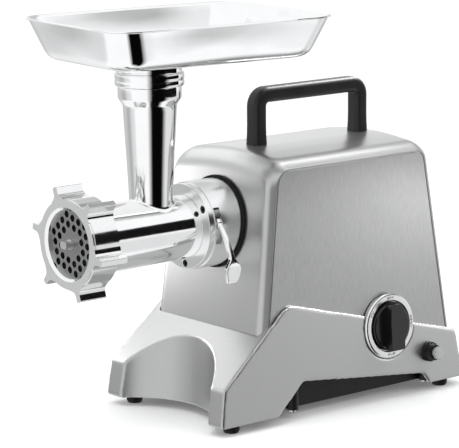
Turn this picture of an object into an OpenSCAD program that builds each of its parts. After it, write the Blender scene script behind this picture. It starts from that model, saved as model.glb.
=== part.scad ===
// Electric meat grinder with a removable grinding head, hopper tray and carry handle.
// Millimetres, +Z up. The origin is on the table, midway between the four feet.
// The grinding head points along -Y and the controls are on the +X side.
// Parts are drawn with y measured from the front face of the housing at the socket.

/* [Overall] */
// Height of the grinding axis above the table
axis_z = 191; // [190:0.5:192]
// Distance from the socket face to the middle of the feet
face_to_feet = 96.4; // [95:0.1:98]

/* [Housing] */
// Half width across the two steel side panels, 100 above the table
panel_x = 80.8; // [80:0.1:81.2]
// Half width of the front face, 100 above the table
edge_x = 76; // [75:0.5:77]
// Width of the bevelled frame around each side panel
frame_w = 8.5; // [7:0.5:10]
// Lean of each side panel towards the middle
side_lean = 2; // [1.5:0.1:2.5]
// Height of the top at its side edges
shoulder_z = 256.6; // [255:0.1:258]
// Height of the top at its middle
crown_z = 261.5; // [260:0.1:263]
// Wall of the painted cowl
cowl_wall = 2.5; // [2:0.1:3]

/* [Base] */
// Half width of the base at its lower edge
base_x = 91.2; // [90.8:0.1:92]
// Height of the lower edge of the base
base_z = 9; // [8.5:0.1:10]
// Wall of the base
base_wall = 3; // [2.5:0.1:3]
// Radius of the scooped front
scoop_r = 82; // [80:0.5:84]
// Half the spacing of the feet across the grinder
foot_x = 76; // [75:0.5:77]
// Half the spacing of the feet along the grinder
foot_y = 140.1; // [139:0.1:141]

/* [Carry handle] */
// Height of the top of the handle
handle_top = 318.5; // [315:0.5:325]
// Distance between the middles of the two legs
handle_span = 135.5; // [134:0.5:140]
// Width of the handle bar
handle_w = 17.5; // [14:0.5:18]
// Thickness of the handle bar
handle_t = 15.5; // [13:0.5:16]

/* [Controls] */
// Radius of the dial ring
dial_r = 33; // [30:0.5:34]
// Radius of the rotary knob
knob_r = 25; // [22:0.5:25.5]
// Travel of the breaker's reset cap
reset_travel = 2.5; // [2:0.1:3]

/* [Grinding head] */
// Diameter of the grinding plate
plate_d = 70; // [69.8:0.1:70.1]
// Diameter of the holes in the grinding plate
plate_hole_d = 6.8; // [6:0.1:7.2]
// Spacing of the holes in the grinding plate
plate_pitch = 9.55; // [9.5:0.05:9.7]
// Outside radius of the ring nut
nut_r = 44; // [43.5:0.1:44.5]
// Inside radius of the head's barrel around the feed screw
barrel_bore_r = 28; // [27.8:0.1:28.2]
// Outside radius of the spigot that slides into the socket
spigot_r = 31; // [30.8:0.1:31]
// Lead of the feed screw
screw_lead = 34; // [30:1:38]

/* [Hopper tray] */
// Width of the tray across the grinder
tray_w = 184.5; // [180:0.5:200]
// Length of the tray along the grinder
tray_l = 254; // [244:1:258]
// Turn of the tray on its round spout
tray_turn = -5.2; // [-6:0.1:0]
// Height of the tray's rim
rim_z = 397; // [395:0.5:400]
// Height of the underside of the tray
tray_z = 357; // [356:0.5:358]

/* [Gear train] */
// Teeth on the motor pinion
motor_teeth = 14; // [14:14]
// Teeth on the first gear
first_teeth = 60; // [60:60]
// Teeth on the second pinion
second_teeth = 12; // [12:12]
// Teeth on the output gear
output_teeth = 56; // [56:56]

/* [Hidden] */

$fn = 64;
eps = 0.05;

// Colours
silver_paint = [0.72, 0.73, 0.74];
steel = [0.80, 0.81, 0.82];
polished = [0.86, 0.87, 0.88];
black_plastic = [0.08, 0.08, 0.09];
charcoal = [0.2, 0.2, 0.21];
copper = [0.72, 0.43, 0.25];
cast_metal = [0.62, 0.63, 0.65];

// Slopes of the leaning faces, as run over rise
front_slope = 0.1114;
rear_slope = 0.152;
wall_slope = 0.06;
front_lean = atan(front_slope);
wall_lean = atan(wall_slope);
ref_z = 100;

// The grinding head, by distance ahead of the socket face
plate_front = 175;
plate_t = 8;
nut_front = 180;
nut_back = 150;
socket_front = 33;
collar_front = 40;
barrel_front = 171;
recess_back = 155;
spigot_back = 9;
neck_ahead = 79;
neck_top = 333;
stud_r = 5;
drive_square = 14;

// The gear train: axes by [x, z]
first_module = 1;
second_module = 1.5;
motor_axis = [0, axis_z - 71];
first_centre = first_module * (motor_teeth + first_teeth) / 2;
second_centre = second_module * (second_teeth + output_teeth) / 2;
drop = axis_z - motor_axis[1];
idler_drop = (second_centre * second_centre - first_centre * first_centre + drop * drop) / 2 / drop;
idler_axis = [sqrt(second_centre * second_centre - idler_drop * idler_drop), axis_z - idler_drop];
output_axis = [0, axis_z];
run_fit = 0.06;

// Lower edge of the back wall of the base, its slope, and the cord inlet's place on it by [x, z]
base_back = 257;
back_slope = 0.196;
gland_at = [48, 36];

// The controls, by [y, z] on the right-hand wall
dial_at = [154, 76.8];
switch_hole_r = 22;
reset_at = [208, 42];

// ---- helpers ---------------------------------------------------------------------------

function unit(v) = v / norm(v);
// Arc that rounds the corner c between p and q
function fillet(p, c, q, r, n) = r <= 0 ? [c] :
    let (
        u = unit(p - c), v = unit(q - c), half = acos(u * v) / 2,
        mid = c + unit(u + v) * r / sin(half),
        first = c + u * r / tan(half) - mid, last = c + v * r / tan(half) - mid,
        a0 = atan2(first[1], first[0]), a1 = atan2(last[1], last[0]),
        sweep = (a1 - a0 + 540) % 360 - 180
    )
    [for (i = [0:n]) mid + r * [cos(a0 + sweep * i / n), sin(a0 + sweep * i / n)]];
// Outline with each corner rounded by its own radius
function rounded(pts, radii, n = 6) =
    let (m = len(pts))
    [for (i = [0:m - 1]) each fillet(pts[(i + m - 1) % m], pts[i], pts[(i + 1) % m], radii[i], n)];

// Moves parts drawn from the socket face into the grinder's frame
module from_face() { translate([0, -face_to_feet, 0]) children(); }
// Extrudes a (y, z) outline along X
module along_x(x0, x1) { translate([x0, 0, 0]) rotate([90, 0, 90]) linear_extrude(x1 - x0) children(); }
// Extrudes an (x, z) outline along Y
module along_y(y0, y1) { translate([0, y1, 0]) rotate([90, 0, 0]) linear_extrude(y1 - y0) children(); }
// Places parts on the grinding axis, with local +Z pointing ahead
module ahead(s) { translate([0, -s, axis_z]) rotate([90, 0, 0]) children(); }
// Places parts on an axis along Y, with local +Z pointing to the back
module behind(at, y) { translate([at[0], y, at[1]]) rotate([-90, 0, 0]) children(); }
// Places parts on the right-hand wall, with local +Z pointing out of it
module on_wall(at, lift = 0) {
    translate([base_x - (at[1] - 10) * wall_slope, at[0], at[1]])
        rotate([0, 90 - wall_lean, 0]) translate([0, 0, lift]) children();
}
// Places parts on the leaning back wall at the cord inlet, with local +Z pointing out of it
module on_back() {
    translate([gland_at[0], base_back - (gland_at[1] - base_z) * back_slope, gland_at[1]])
        rotate([atan(back_slope) - 90, 0, 0]) children();
}
// Tube with its lower end at zero
module tube(r, bore, h) {
    difference() {
        cylinder(r = r, h = h);
        translate([0, 0, -1]) cylinder(r = bore, h = h + 2);
    }
}
// Countersunk or pan-head screw: the head's top is at zero and the shank points to -Z
module screw(head_r, head_h, shank_r, length) {
    difference() {
        translate([0, 0, -head_h]) cylinder(r = head_r, h = head_h);
        translate([0, 0, -head_h * 0.6]) cylinder(r = head_r * 0.5, h = head_h, $fn = 6);
    }
    translate([0, 0, -length]) cylinder(r = shank_r, h = length - head_h + eps);
}

// ---- housing ---------------------------------------------------------------------------

function front_y(z) = -7.4 + (z - 110) * front_slope;
function rear_y(z) = 246.8 - (z - 61) * rear_slope;
cowl_low = 55;
handle_seat = 258;
handle_legs = [54.75, 54.75 + handle_span];
// Side outline of the cowl, drawn in by d
function cowl_outline(d, top, low = cowl_low) = rounded(
    [[front_y(low) + d, low], [front_y(top) + d, top - d], [rear_y(top) - d, top - d], [rear_y(low) - d, low]],
    [0, 25 - d, 16 - d / 2, 0], 8);
// Thin slice with the lean of a side, at x on the height ref_z
module leaning_slice(side, x, thick = 0.02) {
    translate([side * x, 0, ref_z]) rotate([0, -side * side_lean, 0])
        translate([0, 0, -ref_z]) along_x(-thick / 2, thick / 2) children();
}
module cowl_solid(d = 0) {
    shoulder_x = 62.5;
    hull() {
        for (side = [-1, 1]) {
            leaning_slice(side, panel_x - d) polygon(cowl_outline(frame_w + d / 2, shoulder_z));
            leaning_slice(side, edge_x - d) polygon(cowl_outline(d, shoulder_z - 5));
            translate([side * shoulder_x, 0, 0]) along_x(-0.01, 0.01)
                polygon(cowl_outline(d, shoulder_z));
            translate([side * shoulder_x * 0.55, 0, 0]) along_x(-0.01, 0.01)
                polygon(cowl_outline(d, crown_z - 1.5));
        }
        along_x(-12, 12) polygon(cowl_outline(d, crown_z));
    }
}
module socket_hole() { ahead(-30) cylinder(r = 43.2, h = 60, $fn = 96); }

module upper_housing() {
    vents = 7;
    color(silver_paint) from_face() difference() {
        cowl_solid();
        difference() {
            union() {
                cowl_solid(cowl_wall);
                translate([0, 0, -8]) cowl_solid(cowl_wall);
            }
            // floor of the handle's seats
            for (y = handle_legs) translate([-14, y - 12, handle_seat - 3]) cube([28, 24, 20]);
        }
        socket_hole();
        on_wall(dial_at, -30) cylinder(r = switch_hole_r, h = 40);
        for (side = [-1, 1]) for (i = [0:vents - 1])
            translate([side * 34 - 22, 200, 150 + i * 12]) cube([44, 60, 3.6]);
        for (y = handle_legs) {
            translate([0, y, handle_seat]) linear_extrude(20) handle_section();
            translate([0, y, 240]) cylinder(r = 2.6, h = 40);
        }
    }
}

// Stainless sheet laid on one side of the cowl
module side_panel(side) {
    gap = 0.9;
    sheet = 1;
    color(steel) from_face() difference() {
        leaning_slice(side, panel_x + sheet / 2 + 0.02, sheet)
            polygon(rounded([for (p = cowl_outline(frame_w + gap, shoulder_z, cowl_low + 3)) p], [for (i = [0:19]) 0]));
        if (side > 0) on_wall(dial_at, -30) cylinder(r = switch_hole_r, h = 60);
    }
}
module side_panel_left() { side_panel(-1); }
module side_panel_right() { side_panel(1); }

// Side outline of the base, and its outline seen from the front
base_side = rounded(
    [[-67.7, base_z], [-62.3, 46], [15.5, 112.2], [25.9, 116.2], [116.4, 92.7], [base_back - 51 * back_slope, base_z + 51], [base_back, base_z]],
    [2, 8, 10, 10, 60, 6, 3], 5);
base_front = [
    [-base_x, base_z], [-base_x + 110 * wall_slope, base_z + 110],
    [base_x - 110 * wall_slope, base_z + 110], [base_x, base_z]];
// Plan outline: small radii on the legs, larger ones at the back
base_plan = rounded([[-96, -80], [96, -80], [96, 258], [-96, 258]], [1, 1, 14, 14], 6);
module base_block(d = 0) {
    intersection() {
        along_x(-120, 120) offset(delta = -d) polygon(base_side);
        along_y(-120, 300) offset(delta = -d) polygon(base_front);
        linear_extrude(140) offset(delta = -d) polygon(base_plan);
    }
}
module scoop(r) {
    scoop_y = -109;
    scoop_lean = 4;
    translate([0, scoop_y, 45]) rotate([-scoop_lean, 0, 0])
        translate([0, 0, -70]) cylinder(r = r, h = 160, $fn = 128);
}
module foot_places() {
    for (x = [-foot_x, foot_x], y = [-foot_y, foot_y])
        translate([x, y + face_to_feet, 0]) children();
}
module base_housing() {
    boss_r = 12.5;
    boss_top = 34;
    side_gap = rounded(
        [[0, -2], [5, base_z], [38, 38.6], [199, 20.5], [208, base_z], [212, -2]], [0, 0, 7, 5, 0, 0], 5);
    color(silver_paint) from_face() difference() {
        union() {
            difference() {
                base_block();
                base_block(base_wall);
                translate([0, 0, -7]) base_block(base_wall);
            }
            intersection() {
                base_block();
                scoop(scoop_r + base_wall);
            }
            intersection() {
                base_block();
                foot_places() translate([0, 0, base_z]) cylinder(r = boss_r, h = boss_top - base_z);
            }
        }
        scoop(scoop_r);
        cowl_solid();
        for (side = [-1, 1]) leaning_slice(side, panel_x + 0.6, 1.4)
            polygon(cowl_outline(frame_w, shoulder_z));
        along_x(-120, 120) polygon(side_gap);
        on_wall(dial_at, -10) cylinder(r = dial_r + 0.1, h = 40, $fn = 96);
        on_wall(reset_at, -10) cylinder(r = 6.2, h = 20);
        foot_places() translate([0, 0, -1]) cylinder(r = 2, h = 28);
        on_back() translate([0, 0, -20]) cylinder(r = 7, h = 40);
    }
}

// Black tub that closes the underside and carries the motor
tub_x = 72;
tub_y = [-12, 222];
tub_top = 50;
module bottom_cover() {
    low = base_z + 0.5;
    wall = 2.5;
    length = tub_y[1] - tub_y[0];
    color(black_plastic) from_face() difference() {
        union() {
            difference() {
                translate([-tub_x, tub_y[0], low]) cube([2 * tub_x, length, tub_top - low]);
                translate([-tub_x + wall, tub_y[0] + wall, low + wall])
                    cube([2 * (tub_x - wall), length - 2 * wall, tub_top]);
            }
            for (x = [-tub_x - 1.4, tub_x - 1], y = [70:30:190])
                translate([x, y, low]) cube([2.4, 3, tub_top - low]);
            for (x = [-tub_x - 5, tub_x + 5], y = [34, 214])
                translate([x, y, low]) cylinder(r = 6, h = 26);
        }
        for (x = [-tub_x - 5, tub_x + 5], y = [34, 214]) translate([x, y, 0]) cylinder(r = 1.6, h = 26);
        for (i = [0:9]) translate([-40, 70 + i * 9, 0]) cube([80, 3.6, 20]);
        on_wall(reset_at, -48) translate([-11, -10, 0]) cube([22, 20, 60]);
    }
}
module cover_screws() {
    color(steel) from_face() for (x = [-tub_x - 5, tub_x + 5], y = [34, 214])
        translate([x, y, base_z - 1.6]) rotate([180, 0, 0]) screw(3.4, 2, 1.5, 18);
}

module rubber_feet() {
    color(black_plastic) from_face() foot_places() difference() {
        union() {
            cylinder(r1 = 7, r2 = 8.2, h = 3);
            translate([0, 0, 3]) cylinder(r = 8.2, h = base_z - 3);
        }
        translate([0, 0, -1]) cylinder(r = 4.2, h = 3.4);
        cylinder(r = 2, h = 20);
    }
}
module foot_screws() {
    color(steel) from_face() foot_places()
        translate([0, 0, 0.6]) rotate([180, 0, 0]) screw(4, 1.8, 1.9, 22);
}

// ---- carry handle ----------------------------------------------------------------------

bend_r = 19;
module handle_section() {
    polygon(rounded([[-handle_w, -handle_t] / 2, [handle_w, -handle_t] / 2,
        [handle_w, handle_t] / 2, [-handle_w, handle_t] / 2], [5, 5, 5, 5], 6));
}
module carry_handle() {
    mid_r = bend_r - handle_t / 2;
    bar_z = handle_top - handle_t / 2;
    leg_h = bar_z - mid_r - handle_seat;
    color(charcoal) from_face() difference() {
        union() {
            for (y = handle_legs) translate([0, y, handle_seat]) linear_extrude(leg_h + eps) handle_section();
            translate([0, handle_legs[1] - mid_r + eps, bar_z]) rotate([90, 0, 0])
                linear_extrude(handle_span - 2 * mid_r + 2 * eps) handle_section();
            for (i = [0, 1]) translate([0, handle_legs[i] + (i == 0 ? mid_r : -mid_r), bar_z - mid_r])
                rotate([90, 0, 180 * i - 90]) rotate_extrude(angle = 90, $fn = 64)
                    translate([mid_r, 0]) rotate(90) handle_section();
        }
        for (y = handle_legs) translate([0, y, handle_seat - 1]) cylinder(r = 2.1, h = 24);
    }
}
module handle_screws() {
    color(steel) from_face() for (y = handle_legs)
        translate([0, y, handle_seat - 6]) rotate([180, 0, 0]) screw(5, 3, 2, 24);
}

// ---- socket and lock lever -------------------------------------------------------------

lever_pivot = [39.5, 198];
slot_front = 32.4;
slot_w = 7;
screw_angles = [34, 154, 274];
screw_ring = 36.6;
module collar_gasket() {
    color(black_plastic) from_face() difference() {
        translate([0, front_y(axis_z), axis_z]) rotate([90 - front_lean, 0, 0])
            cylinder(r = 45.6, h = 3.2, $fn = 128);
        ahead(-20) cylinder(r = 43.05, h = 60, $fn = 128);
        cowl_solid();
    }
}
module head_socket() {
    color(polished) from_face() difference() {
        ahead(-14) cylinder(r = 43, h = socket_front + 14, $fn = 128);
        ahead(-15) cylinder(r = spigot_r + run_fit, h = 60, $fn = 96);
        translate([30, -slot_front, 178]) cube([20, slot_w, 35]);
        for (a = screw_angles) ahead(10) rotate([0, 0, a]) translate([screw_ring, 0, 0])
            cylinder(r = 2.1, h = 40);
        translate([lever_pivot[0], -slot_front - 0.5, lever_pivot[1]]) rotate([-90, 0, 0])
            cylinder(r = 2, h = 14);
    }
}
module collar_plate() {
    color(polished) from_face() difference() {
        ahead(socket_front) cylinder(r = 42, h = collar_front - socket_front, $fn = 128);
        ahead(0) cylinder(r = spigot_r + run_fit, h = 60, $fn = 96);
        for (a = screw_angles) ahead(10) rotate([0, 0, a]) translate([screw_ring, 0, 0]) {
            cylinder(r = 2.1, h = 40);
            translate([0, 0, collar_front - 10 - 5]) cylinder(r = 3.6, h = 10);
        }
    }
}
module socket_screws() {
    color(charcoal) from_face() for (a = screw_angles)
        ahead(0) rotate([0, 0, a]) translate([screw_ring, 0, collar_front - 1]) screw(3.5, 4, 2, 24);
}
module lever_pin() {
    color(steel) from_face() translate([lever_pivot[0], -slot_front - 0.4, lever_pivot[1]])
        rotate([-90, 0, 0]) cylinder(r = 1.95, h = 13);
}
// Cast lever: a hub with a cam, a slanting arm and a paddle
module lock_lever() {
    thick = 6;
    arm = rounded([[-2, 4.5], [5, 3], [11, -9], [14.5, -12.5], [25, -34], [25.5, -42], [20.8, -42],
        [19.6, -35], [8, -13], [-3, -4.5]], [0, 3, 3, 3, 3, 0, 0, 3, 3, 0], 4);
    paddle = rounded([[19.8, -34], [24.6, -33.5], [25.6, -42], [23.4, -55], [19.2, -55], [20.6, -42]],
        [1, 2, 3, 1.5, 1.5, 3], 4);
    paddle_face = rounded([[-3, -32], [3, -32], [8.7, -40.5], [8.2, -46], [5.6, -55.2], [-5.6, -55.2],
        [-8.2, -46], [-8.7, -40.5]], [0, 0, 2, 2, 2, 2, 2, 2], 4);
    color(polished) from_face() translate([lever_pivot[0], -slot_front + 0.5, lever_pivot[1]])
        rotate([90, 0, 0]) translate([0, 0, -thick]) difference() {
            union() {
                cylinder(r = 5.5, h = thick);
                translate([-3.4, 0, 0]) cylinder(r = 3.6, h = thick);
                linear_extrude(thick) polygon(arm);
                intersection() {
                    translate([0, 0, -10]) linear_extrude(26) polygon(paddle);
                    translate([0, 0, thick / 2]) rotate([0, 90, 0]) linear_extrude(40) polygon(paddle_face);
                }
            }
            translate([0, 0, -1]) cylinder(r = 2, h = thick + 2);
        }
}

// ---- gearbox ---------------------------------------------------------------------------

// Radial reach of one involute flank at radius r
function involute(base_r, r) = let (t = sqrt(max(0, r * r / base_r / base_r - 1))) t * 180 / PI - atan(t);
// Outline of a spur gear with stub teeth of 25 degrees pressure angle, one tooth on +X
function gear_outline(teeth, m) =
    let (
        pressure = 25, steps = 4, pitch_r = teeth * m / 2, base_r = pitch_r * cos(pressure),
        tip_r = pitch_r + 0.8 * m, root_r = pitch_r - 1.1 * m, low_r = max(base_r, root_r),
        play = 0.05 * m, half = 90 / teeth - play / pitch_r * 90 / PI + involute(base_r, pitch_r)
    )
    [for (k = [0:teeth - 1]) let (mid = k * 360 / teeth) each concat(
        base_r > root_r ? [root_r * [cos(mid - half), sin(mid - half)]] : [],
        [for (i = [0:steps]) let (r = low_r + (tip_r - low_r) * i / steps, a = mid - half + involute(base_r, r))
            r * [cos(a), sin(a)]],
        [for (i = [steps:-1:0]) let (r = low_r + (tip_r - low_r) * i / steps, a = mid + half - involute(base_r, r))
            r * [cos(a), sin(a)]],
        base_r > root_r ? [root_r * [cos(mid + half), sin(mid + half)]] : [])];
// Gear on an axis along Y, with one tooth pointing at the angle aim in the (x, z) plane
module gear(teeth, m, at, y, width, aim, bore_r) {
    behind(at, y) mirror([0, 1, 0]) difference() {
        rotate([0, 0, aim]) linear_extrude(width) polygon(gear_outline(teeth, m));
        translate([0, 0, -1]) cylinder(r = bore_r, h = width + 2);
    }
}
function aim_of(from, to) = atan2(to[1] - from[1], to[0] - from[0]);

box_front = 14;
box_back = 60;
first_y = [22, 9];
second_y = [38, 12];
shaft_r = 4;
spindle_r = 13;
motor_shaft_r = 5;
// Outline of the gearbox grown by d
module gearbox_outline(d) {
    translate(output_axis) circle(r = 48 + d, $fn = 96);
    translate(idler_axis) circle(r = 34.5 + d, $fn = 96);
    translate(motor_axis) circle(r = 24 + d, $fn = 96);
}
module gearbox_screw_places() {
    for (p = [[-46, 214], [46, 214], [-46, 170], [64, 130], [-26, 106]])
        translate([p[0], 0, p[1]]) children();
}
module gearbox_housing() {
    color(cast_metal) from_face() difference() {
        union() {
            along_y(box_front + 6, box_back) gearbox_outline(3);
            gearbox_screw_places() rotate([90, 0, 0]) translate([0, 0, -box_back])
                cylinder(r = 5, h = box_back - box_front - 6);
        }
        along_y(box_front, box_back - 6) gearbox_outline(0);
        behind(output_axis, 0) cylinder(r = 20 + eps, h = 100);
        behind(idler_axis, 0) cylinder(r = 7 + eps, h = 100);
        behind(motor_axis, 0) cylinder(r = 11 + eps, h = 100);
        gearbox_screw_places() rotate([90, 0, 0]) translate([0, 0, -box_back - 1]) cylinder(r = 2.1, h = 60);
    }
}
module gearbox_cover() {
    color(cast_metal) from_face() difference() {
        union() {
            along_y(box_front, box_front + 6) gearbox_outline(3);
            gearbox_screw_places() rotate([90, 0, 0]) translate([0, 0, -box_front - 6]) cylinder(r = 5, h = 6);
        }
        behind(output_axis, 0) cylinder(r = 20 + eps, h = 100);
        behind(idler_axis, 0) cylinder(r = 7 + eps, h = 100);
        gearbox_screw_places() rotate([90, 0, 0]) translate([0, 0, -box_back]) cylinder(r = 2.1, h = 60);
    }
}
module gearbox_screws() {
    color(steel) from_face() gearbox_screw_places()
        rotate([90, 0, 0]) translate([0, 0, -box_front + 3]) screw(4, 3, 2, 30);
}
// Plain-ring stand-ins for the ball bearings
module spindle_bearings() {
    color(steel) from_face() for (y = [box_front - 2, box_back - 9])
        behind(output_axis, y) tube(20, spindle_r + run_fit, 8);
}
module shaft_bushes() {
    color([0.8, 0.62, 0.35]) from_face() for (y = [box_front - 1, box_back - 7])
        behind(idler_axis, y) tube(7, shaft_r + run_fit, 7);
}
module drive_spindle() {
    color(steel) from_face() difference() {
        union() {
            behind(output_axis, -7) cylinder(r = spindle_r, h = box_back + 4);
            behind(output_axis, 32) cylinder(r = 17, h = second_y[0] - 32);
        }
        translate([0, -8, axis_z]) rotate([0, 45, 0]) translate([-7.15, 0, -7.15]) cube([14.3, 22, 14.3]);
    }
}
module output_gear() {
    color(steel) from_face() gear(output_teeth, second_module, output_axis, second_y[0], second_y[1],
        aim_of(output_axis, idler_axis) + 180 / output_teeth, spindle_r);
}
module intermediate_shaft() {
    color(steel) from_face() behind(idler_axis, box_front - 1) cylinder(r = shaft_r, h = box_back - box_front);
}
module intermediate_gear() {
    color(steel) from_face() gear(first_teeth, first_module, idler_axis, first_y[0], first_y[1],
        aim_of(idler_axis, motor_axis) + 180 / first_teeth, shaft_r);
}
module intermediate_pinion() {
    color(steel) from_face() gear(second_teeth, second_module, idler_axis, second_y[0] - 3, second_y[1] + 4,
        aim_of(idler_axis, output_axis), shaft_r);
}
module motor_pinion() {
    color(steel) from_face() gear(motor_teeth, first_module, motor_axis, first_y[0] - 1, first_y[1] + 2,
        aim_of(motor_axis, idler_axis), motor_shaft_r);
}

// ---- motor -----------------------------------------------------------------------------

sleeve_y = [62, 204];
core_y = [98, 166];
rotor_r = 26;
stator_bore_r = 26.8;
module motor_sleeve() {
    length = sleeve_y[1] - sleeve_y[0];
    color(cast_metal) from_face() difference() {
        behind(motor_axis, sleeve_y[0]) tube(50, 47.5, length);
        for (a = [45:90:315]) for (y = [70, 176])
            behind(motor_axis, y) rotate([0, 0, a]) translate([30, -10, 0]) cube([30, 20, 18]);
    }
}
module motor_cradle() {
    color(black_plastic) from_face() difference() {
        for (y = [100, 150]) translate([-34, y, base_z + 3]) cube([68, 14, 82]);
        behind(motor_axis, 60) cylinder(r = 50, h = 150);
    }
}
module stator_core() {
    color(charcoal) from_face() difference() {
        behind(motor_axis, core_y[0]) cylinder(r = 47.4, h = core_y[1] - core_y[0]);
        behind(motor_axis, 90) cylinder(r = stator_bore_r, h = 90);
        for (side = [-1, 1]) behind(motor_axis, 90) difference() {
            tube(39, 29, 90);
            translate([side * 40 - 40, -60, -1]) cube([80, 120, 92]);
        }
        for (a = [45:90:315]) behind(motor_axis, 90) rotate([0, 0, a])
            translate([43.5, 0, 0]) cylinder(r = 2.2, h = 90);
    }
}
module field_coils() {
    color(copper) from_face() difference() {
        behind(motor_axis, core_y[0] - 9) tube(38.5, 29.5, core_y[1] - core_y[0] + 18);
        translate([-14, core_y[0] - eps, 0]) cube([28, core_y[1] - core_y[0] + 2 * eps, 250]);
    }
}
module end_bracket() {
    color(cast_metal) from_face() difference() {
        behind(motor_axis, sleeve_y[1]) cylinder(r = 50, h = 6);
        behind(motor_axis, 190) cylinder(r = 11 + eps, h = 40);
        for (a = [45:90:315]) behind(motor_axis, 190) rotate([0, 0, a]) translate([43.5, 0, 0]) cylinder(r = 2.2, h = 40);
        for (a = [0:60:300]) behind(motor_axis, 190) rotate([0, 0, a]) translate([26, 0, 0]) cylinder(r = 8, h = 40);
    }
}
module motor_bearings() {
    color(steel) from_face() {
        behind(motor_axis, box_back - 7) tube(11, motor_shaft_r + run_fit, 7);
        behind(motor_axis, sleeve_y[1] - 1) tube(11, motor_shaft_r + run_fit, 7);
    }
}
module brush_holders() {
    color([0.75, 0.6, 0.3]) from_face() for (side = [-1, 1])
        translate([side * 32.5, 186, motor_axis[1]]) difference() {
            cube([28, 11, 12], center = true);
            cube([30, 7.2, 8.2], center = true);
        }
}
module carbon_brushes() {
    color(black_plastic) from_face() difference() {
        for (side = [-1, 1]) translate([side * 25, 186, motor_axis[1]]) cube([26, 7, 8], center = true);
        behind(motor_axis, 170) cylinder(r = 14.15, h = 30);
    }
}
module through_bolts() {
    color(steel) from_face() for (a = [45:90:315])
        behind(motor_axis, sleeve_y[1] + 9) rotate([0, 0, a]) translate([43.5, 0, 0]) screw(4, 3, 2, 140);
}
module rotor_shaft() {
    color(steel) from_face() behind(motor_axis, box_front + 6.4) cylinder(r = motor_shaft_r, h = 193);
}
module rotor_core() {
    slots = 12;
    color(charcoal) from_face() difference() {
        behind(motor_axis, core_y[0]) cylinder(r = rotor_r, h = core_y[1] - core_y[0]);
        behind(motor_axis, 90) cylinder(r = motor_shaft_r, h = 90);
        for (i = [0:slots - 1]) behind(motor_axis, 90) rotate([0, 0, i * 360 / slots]) translate([14, -2, 0])
            cube([20, 4, 90]);
    }
}
module commutator() {
    color(copper) from_face() difference() {
        behind(motor_axis, 178) cylinder(r = 14, h = 17);
        behind(motor_axis, 170) cylinder(r = motor_shaft_r, h = 40);
        for (i = [0:23]) behind(motor_axis, 170) rotate([0, 0, i * 15]) translate([12.5, -0.3, 0])
            cube([4, 0.6, 40]);
    }
}
module cooling_fan() {
    blades = 11;
    color(black_plastic) from_face() {
        behind(motor_axis, 66) tube(11, motor_shaft_r, 16);
        behind(motor_axis, 80) tube(40, 10.5, 2);
        for (i = [0:blades - 1]) behind(motor_axis, 68) rotate([0, 0, i * 360 / blades])
            translate([10.5, -0.8, 0]) cube([29, 1.6, 12.5]);
    }
}

// ---- controls --------------------------------------------------------------------------

dial_back = -3.2;
dial_h = 2.6;
module dial_ring() {
    color(steel) from_face() on_wall(dial_at, dial_back) difference() {
        union() {
            cylinder(r = dial_r, h = dial_h - dial_back - 1.5, $fn = 96);
            translate([0, 0, dial_h - dial_back - 1.5]) cylinder(r1 = dial_r, r2 = dial_r - 1.5, h = 1.5, $fn = 96);
        }
        translate([0, 0, 1.7]) cylinder(r = knob_r + 1, h = 10, $fn = 96);
        translate([0, 0, -1]) cylinder(r = 9.1, h = 20);
    }
}
module switch_body() {
    color(black_plastic) from_face() on_wall(dial_at, 0) {
        translate([-15, -15, -34]) cube([30, 30, 26]);
        translate([0, 0, -9]) cylinder(r = 9, h = 6.6);
        for (x = [-9, 9], y = [-8, 8]) translate([x - 3, y - 0.4, -42]) cube([6, 0.8, 9]);
    }
}
// Round knob with a raised grip bar across its face
module control_knob() {
    skirt = 5;
    grip = 15;
    bar = rounded([[-knob_r + 2, -8], [-4, -9.4], [knob_r - 1.6, -8.6], [knob_r - 1.6, 8.6], [-4, 9.4], [-knob_r + 2, 8]],
        [5, 10, 2, 2, 10, 5], 5);
    color(black_plastic) from_face() on_wall(dial_at, -1.1) {
        cylinder(r1 = knob_r, r2 = knob_r - 0.6, h = skirt, $fn = 96);
        translate([0, 0, skirt - eps]) cylinder(r1 = knob_r - 1.6, r2 = knob_r - 3, h = 1, $fn = 96);
        translate([0, 0, skirt]) linear_extrude(grip - skirt) polygon(bar);
    }
}
module breaker_body() {
    color(black_plastic) from_face() on_wall(reset_at, 0) {
        translate([-9, -8, -36]) cube([18, 16, 28]);
        translate([0, 0, -9]) tube(6, 4.6, 11.5);
        for (y = [-4, 4]) translate([-3, y - 0.4, -44]) cube([6, 0.8, 9]);
    }
}
module breaker_collar() {
    ribs = 18;
    color(black_plastic) from_face() on_wall(reset_at, 0) difference() {
        union() {
            cylinder(r1 = 10.2, r2 = 7.8, h = 10.6);
            for (i = [0:ribs - 1]) rotate([0, 0, i * 360 / ribs]) translate([8, -0.6, 0]) cube([2, 1.2, 5]);
        }
        translate([0, 0, -1]) cylinder(r = 6.02, h = 4.5);
        translate([0, 0, -1]) cylinder(r = 5.4, h = 20);
    }
}
module reset_button() {
    color([0.7, 0.7, 0.7]) from_face() on_wall(reset_at, 0) {
        translate([0, 0, 13.4]) cylinder(r = 6.9, h = 2.8, $fn = 8);
        translate([0, 0, 16.1]) cylinder(r1 = 6.2, r2 = 5.4, h = 1);
        translate([0, 0, -5]) cylinder(r = 4.5, h = 18.4 + eps);
    }
}
module terminal_block() {
    color([0.85, 0.85, 0.82]) from_face() translate([20, 190, base_z + 3.2]) difference() {
        cube([34, 16, 14]);
        for (i = [0:3]) translate([5 + i * 8, 8, 4]) cylinder(r = 2, h = 20);
    }
}
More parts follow.
